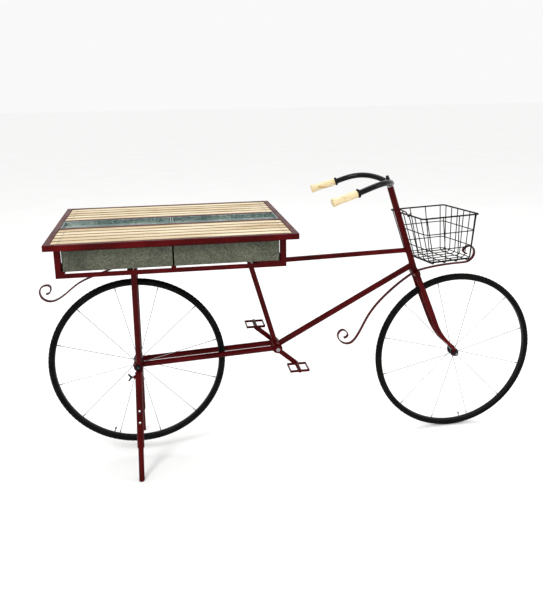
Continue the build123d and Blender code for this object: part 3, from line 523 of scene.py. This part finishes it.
def build_slats():
    """The two fields of pine slats with their countersunk screws."""
    for side, name in ((-1, "near"), (1, "far")):
        low, high = (Vector(corner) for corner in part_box(name + "_slats"))
        vertices, faces, tones, screws = [], [], [], []
        for number in range(SLATS_PER_SIDE):
            start = low.y + number * (SLAT_WIDTH + SLAT_GAP)
            seed = number + 7.3 * side
            tone = (noise.noise(Vector((seed * 1.7, 0.4, 2.2))) + 1) / 2
            trim = 0.0015 * abs(noise.noise(Vector((seed, 9.1, 0.2))))
            board_low = Vector((low.x + trim, start, low.z))
            board_high = Vector((high.x - trim, start + SLAT_WIDTH, high.z))
            board(vertices, faces, tones, board_low, board_high, tone, seed)
            for x in SCREW_ROWS:
                for offset in (0.25, 0.75):
                    screws.append(Vector((x, start + SLAT_WIDTH * offset, high.z - 0.0007)))
        made = piece(name + "_boards", vertices, faces, "pine", "frame")
        attribute = made.data.attributes.new("board", "FLOAT", "POINT")
        for place, tone in enumerate(tones):
            attribute.data[place].value = tone
        made.data.shade_flat()
        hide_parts(name + "_slats")
        build_screws(name + "_slat_screws", screws)


def build_screws(name, centres):
    """Small countersunk heads with a cross slot, just under the wood's surface."""
    vertices, faces = [], []
    for centre in centres:
        first = len(vertices)
        rings = ((0.0024, 0.0), (0.0018, 0.0003), (0.0007, -0.0003))
        for radius, lift in rings:
            for step in range(12):
                angle = tau * step / 12
                pinch = 0.45 if radius < 0.001 and step % 3 else 1.0
                offset = Vector((radius * pinch * cos(angle), radius * pinch * sin(angle), lift))
                vertices.append(centre + offset)
        for level in range(2):
            for step in range(12):
                after = (step + 1) % 12
                here = first + level * 12
                faces.append((here + step, here + after, here + 12 + after, here + 12 + step))
        faces.append(tuple(first + 24 + step for step in range(12)))
    piece(name, vertices, faces, "zinc_pan", "frame")


def build_end_caps():
    """Welded plates that close the open ends of the tabletop's end rails."""
    rail_half = 0.010
    half = 0.0088
    z = (TABLE_LOW.z + TABLE_HIGH.z) / 2
    for end, x in (("rear", TABLE_LOW.x + rail_half), ("front", TABLE_HIGH.x - rail_half)):
        for side, side_name in ((-1, "near"), (1, "far")):
            outer = side * (TABLE_HIGH.y - 0.0004)
            inner = side * (TABLE_HIGH.y - 0.003)
            corners = []
            for y in (inner, outer):
                ease = 0.0008 if y == outer else 0.0
                for dx, dz in ((-1, -1), (1, -1), (1, 1), (-1, 1)):
                    corners.append(Vector((x + dx * (half - ease), y, z + dz * (half - ease))))
            faces = [(0, 1, 2, 3), (7, 6, 5, 4), (0, 4, 5, 1), (1, 5, 6, 2), (2, 6, 7, 3), (3, 7, 4, 0)]
            piece(f"end_cap_{end}_{side_name}", corners, faces, "red_paint", "frame", smooth=False)


# ---- sheet metal ----
def build_hem(pan):
    """The rolled wire edge along the top of a pan."""
    low, high = (Vector(corner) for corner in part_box(pan))
    z = high.z - PAN_HEM
    corner = 0.004
    inset = PAN_HEM + corner
    points = []
    for sx, sy, start in ((-1, -1, 180), (1, -1, 270), (1, 1, 0), (-1, 1, 90)):
        cx = high.x - inset if sx > 0 else low.x + inset
        cy = high.y - inset if sy > 0 else low.y + inset
        for turn in range(5):
            angle = radians(start + 22.5 * turn)
            points.append(Vector((cx + corner * cos(angle), cy + corner * sin(angle), z)))
    wire(pan + "_hem", [points], PAN_HEM, "zinc_pan", pan, cyclic=True)


# ---- wire basket ----
BASKET_TURN = radians(12.2)
RIM_SPAN = (0.265, 0.238)
FLOOR_SPAN = (0.194, 0.198)
RIM_WIRE = 0.0031
SIDE_WIRE = 0.0020
RIM_MIDDLE = middle("basket_rim")
FLOOR_MIDDLE = middle("basket_floor")
LONG_SIDE_WIRES = 4
SHORT_SIDE_WIRES = 6
FIRST_WIRE = 0.07
WIRE_BEND = 0.016
RING_DEPTHS = (0.345, 0.68, 0.93)


def basket_level(depth, outward):
    """The middle and half sizes of the basket at a part of its depth."""
    centre = RIM_MIDDLE.lerp(FLOOR_MIDDLE, depth)
    half = [(rim + (base - rim) * depth) / 2 + outward for rim, base in zip(RIM_SPAN, FLOOR_SPAN)]
    return centre, half


def on_basket(depth, along, across, outward=0.0):
    """A point of the basket; along and across run from -1 to 1 between its sides."""
    centre, half = basket_level(depth, outward)
    flat = Vector((along * half[0], across * half[1], 0))
    return centre + Matrix.Rotation(BASKET_TURN, 3, "Z") @ flat


def basket_ring(depth, corner, outward=0.0):
    """A level ring round the basket with rounded corners."""
    _, half = basket_level(depth, outward)
    points = []
    for along, across, start in ((1, 1, 0), (-1, 1, 90), (-1, -1, 180), (1, -1, 270)):
        for turn in range(7):
            angle = radians(start + 15 * turn)
            x = along * (half[0] - corner) + corner * cos(angle)
            y = across * (half[1] - corner) + corner * sin(angle)
            points.append(on_basket(depth, x / half[0], y / half[1], outward))
    return points


def bent(points, radius, steps=6):
    """The same line of points with each inner corner rounded."""
    line = [points[0]]
    for before, corner, after in zip(points, points[1:], points[2:]):
        start = corner + (before - corner).normalized() * radius
        end = corner + (after - corner).normalized() * radius
        for step in range(steps + 1):
            part = step / steps
            line.append(start.lerp(corner, part).lerp(corner.lerp(end, part), part))
    line.append(points[-1])
    return line


def wire_places(count):
    """Where a side's upright wires stand, from -1 to 1 between its corners."""
    return [2 * (FIRST_WIRE + (1 - 2 * FIRST_WIRE) * number / (count - 1)) - 1 for number in range(count)]


def build_basket():
    """Uprights that bend under the floor and up the other side, three rings and a heavy rim."""
    uprights = []
    under = 0.985
    for along in wire_places(LONG_SIDE_WIRES):
        stops = ((0, -1), (under, -1), (under, 1), (0, 1))
        uprights.append(bent([on_basket(depth, along, across) for depth, across in stops], WIRE_BEND))
    above = under - 2 * SIDE_WIRE / (RIM_MIDDLE.z - FLOOR_MIDDLE.z)
    for across in wire_places(SHORT_SIDE_WIRES):
        stops = ((0, -1), (above, -1), (above, 1), (0, 1))
        uprights.append(bent([on_basket(depth, along, across) for depth, along in stops], WIRE_BEND))
    rings = [basket_ring(depth, 0.018, -1.7 * SIDE_WIRE) for depth in RING_DEPTHS]
    wire("basket_uprights", uprights, SIDE_WIRE, "black_wire", "steering")
    rings_piece = wire("basket_rings", rings, SIDE_WIRE, "black_wire", "steering", cyclic=True)
    rim = wire("basket_rim_wire", [basket_ring(0, 0.009)], RIM_WIRE, "black_wire", "steering", cyclic=True)
    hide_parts("basket_rim")
    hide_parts("basket_sides", "basket_floor")


# ---- fork ----
BLADE_Y = 0.026
BLADE_BEND = Vector((0.6040, 0, 0.4232))
BLADE_TIP = Vector((0.6635, 0, 0.379))
BLADE_ARC = 0.0741
BLADE_DEPTHS = (
    (0.0, 0.0100),
    (0.08, 0.0120),
    (0.22, 0.0120),
    (0.33, 0.0088),
    (0.39, 0.0064),
    (0.50, 0.0055),
)
BLADE_WIDTHS = ((0.0, 0.0080), (0.25, 0.0080), (0.37, 0.0066), (0.40, 0.0040), (0.50, 0.0029))


def from_table(table, along):
    """The value at a distance along, between the rows of a table."""
    for (start, low), (end, high) in zip(table, table[1:]):
        if along <= end:
            return low + (high - low) * (along - start) / (end - start)
    return table[-1][1]


def oval_blade(line, side, around=24):
    """Vertices and faces of one fork blade along its centre line."""
    vertices, faces = [], []
    along = 0.0
    for number, spot in enumerate(line):
        before = line[max(number - 1, 0)]
        after = line[min(number + 1, len(line) - 1)]
        along += (spot - before).length
        run = (after - before).normalized()
        across = Vector((run.z, 0, -run.x))
        deep, wide = from_table(BLADE_DEPTHS, along), from_table(BLADE_WIDTHS, along)
        for step in range(around):
            angle = tau * step / around
            offset = across * deep * cos(angle) + Vector((0, side * BLADE_Y + wide * sin(angle), 0))
            vertices.append(spot + offset)
    for level in range(len(line) - 1):
        here = level * around
        for step in range(around):
            after = (step + 1) % around
            faces.append((here + step, here + after, here + around + after, here + around + step))
    faces.append(tuple(reversed(range(around))))
    faces.append(tuple(range(len(vertices) - around, len(vertices))))
    return vertices, faces


def build_fork():
    """Oval fork blades that taper and curve forward to their dropout discs."""
    top = HEAD_FOOT - 0.006 * HEAD_UP
    curve = bent([top, BLADE_BEND, BLADE_TIP], BLADE_ARC, 12)[:-1]
    line = [top.lerp(curve[1], step / 6) for step in range(6)] + curve[1:]
    line += [BLADE_TIP.lerp(FRONT_AXLE, 0.5), FRONT_AXLE]
    hole, outer, half = 0.0052, 0.0136, 0.003
    ease = 0.0006
    disc = (
        (hole, -half),
        (outer - ease, -half),
        (outer, -half + ease),
        (outer, half - ease),
        (outer - ease, half),
        (hole, half),
    )
    vertices, faces = [], []
    for side in SIDES:
        blade = oval_blade(line, side)
        dropout = turned(FRONT_AXLE + Vector((0, side * BLADE_Y, 0)), disc, 48)
        for more_vertices, more_faces in (blade, dropout):
            first = len(vertices)
            vertices += more_vertices
            faces += [tuple(first + number for number in face) for face in more_faces]
    made = piece("fork_blades_oval", vertices, faces, "red_paint", "steering")
    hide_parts("fork_blades")


# ---- welds ----
WELD_BEAD = 0.0017
TUBE_RADIUS = {
    "seat": 0.0105,
    "down": 0.012,
    "top": 0.010,
    "stay": 0.011,
    "head": 0.013,
    "shell": 0.020,
}
DOWN_FRONT = Vector((0.475, 0, 0.751))
TOP_REAR = Vector((-0.2065, 0, 0.797))
TOP_FRONT = Vector((0.4545, 0, 0.814))


def weld_points(start, direction, radius, axis_point, axis_direction, axis_radius):
    """The line where a round tube meets another round tube."""
    steps = 40
    direction = direction.normalized()
    axis_direction = axis_direction.normalized()
    side = direction.orthogonal().normalized()
    other = direction.cross(side)
    points = []
    for step in range(steps):
        angle = tau * step / steps
        base = start + radius * (cos(angle) * side + sin(angle) * other)
        gap = base - axis_point
        flat_gap = gap - axis_direction * gap.dot(axis_direction)
        flat_run = direction - axis_direction * direction.dot(axis_direction)
        a = flat_run.dot(flat_run)
        b = 2 * flat_gap.dot(flat_run)
        c = flat_gap.dot(flat_gap) - axis_radius**2
        root = max(b * b - 4 * a * c, 0.0)
        along = (-b + sqrt(root)) / (2 * a)
        wobble = 0.0005 * noise.noise(base * 400)
        points.append(base + direction * (along + wobble))
    return points


def build_welds():
    """Beads of weld where the frame's tubes meet, painted over."""
    across = Vector((0, 1, 0))
    cross_low, cross_high = (Vector(corner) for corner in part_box("cross_members"))
    seat_top = Vector((cross_high.x - 0.010, 0, cross_low.z))
    seat_run = seat_top - BRACKET
    down_run, top_run = DOWN_FRONT - BRACKET, TOP_FRONT - TOP_REAR
    seat, down, top = TUBE_RADIUS["seat"], TUBE_RADIUS["down"], TUBE_RADIUS["top"]
    shell, head = TUBE_RADIUS["shell"], TUBE_RADIUS["head"]
    beads = [
        weld_points(BRACKET, seat_run, seat, BRACKET, across, shell),
        weld_points(BRACKET, down_run, down, BRACKET, across, shell),
        weld_points(DOWN_FRONT, -down_run, down, HEAD_FOOT, HEAD_UP, head),
        weld_points(TOP_FRONT, -top_run, top, HEAD_FOOT, HEAD_UP, head),
        weld_points(TOP_REAR, top_run, top, BRACKET, seat_run, seat),
    ]
    for side in SIDES:
        start = BRACKET + Vector((0, side * 0.030, 0))
        beads.append(weld_points(start, REAR_AXLE - BRACKET, TUBE_RADIUS["stay"], start, across, shell))
    wire("frame_welds", beads, WELD_BEAD, "red_paint", "frame", cyclic=True, resolution=2)


# ---- camera, light and floor ----
def build_camera():
    yaw, pitch, roll = 0.1605, 0.2546, -0.0144
    forward = Vector((sin(yaw) * cos(pitch), cos(yaw) * cos(pitch), -sin(pitch)))
    level = Vector((cos(yaw), -sin(yaw), 0))
    rise = level.cross(forward)
    right = cos(roll) * level + sin(roll) * rise
    up = -sin(roll) * level + cos(roll) * rise
    data = bpy.data.cameras.new("camera")
    data.lens = 40.74
    data.sensor_width = 36
    data.shift_y = -0.0667
    camera = bpy.data.objects.new("camera", data)
    turn = Matrix((right, up, -forward)).transposed().to_4x4()
    camera.matrix_world = Matrix.Translation((-0.5400, -2.5998, 1.4882)) @ turn
    scene.collection.objects.link(camera)
    scene.camera = camera


def build_light(name, place, target, size, power):
    data = bpy.data.lights.new(name, "AREA")
    data.shape = "RECTANGLE"
    data.size, data.size_y = size
    data.energy = power
    lamp = bpy.data.objects.new(name, data)
    lamp.location = place
    lamp.rotation_euler = (Vector(target) - Vector(place)).to_track_quat("-Z", "Y").to_euler()
    scene.collection.objects.link(lamp)


def build_stage():
    """A plain pale floor under soft studio light."""
    mesh = bpy.data.meshes.new("floor")
    reach = 40
    corners = [(-reach, -reach, 0), (reach, -reach, 0), (reach, reach, 0), (-reach, reach, 0)]
    mesh.from_pydata(corners, [], [(0, 1, 2, 3)])
    s = Shader("floor")
    s.colour(s.ramp(s.noise(2, 3), ((0.3, (0.955, 0.955, 0.95)), (0.7, (0.98, 0.98, 0.975)))))
    s.set(Roughness=0.9, Specular_IOR_Level=0.1)
    mesh.materials.append(s.material)
    floor = bpy.data.objects.new("floor", mesh)
    scene.collection.objects.link(floor)
    world = bpy.data.worlds.new("studio")
    world.use_nodes = True
    background = world.node_tree.nodes["Background"]
    background.inputs["Color"].default_value = (1.0, 1.0, 1.0, 1)
    background.inputs["Strength"].default_value = 0.95
    scene.world = world
    build_light("key", (-2.4, -3.0, 3.6), (0, 0, 0.6), (1.2, 1.2), 95)
    build_light("top", (0.4, 1.0, 4.2), (0, 0, 0.7), (2.4, 1.6), 60)
    build_light("side", (3.4, -1.6, 2.0), (0.3, 0, 0.6), (1.0, 1.6), 24)


dress_cad_nodes()
soften_edges()
build_tyre("rear_tyre_tread", REAR_AXLE, "rear_wheel", "rear_tyre")
build_tyre("front_tyre_tread", FRONT_AXLE, "front_wheel", "front_tyre")
build_rim("rear_rim_section", REAR_AXLE, "rear_wheel", "rear_rim")
build_rim("front_rim_section", FRONT_AXLE, "front_wheel", "front_rim")
build_valve("rear_valve", REAR_AXLE, "rear_wheel", -111)
build_valve("front_valve", FRONT_AXLE, "front_wheel", -82)
build_slats()
build_end_caps()
build_hem("rear_pan")
build_hem("front_pan")
build_basket()
build_fork()
build_welds()
build_camera()
build_stage()
scene.view_settings.view_transform = "Standard"
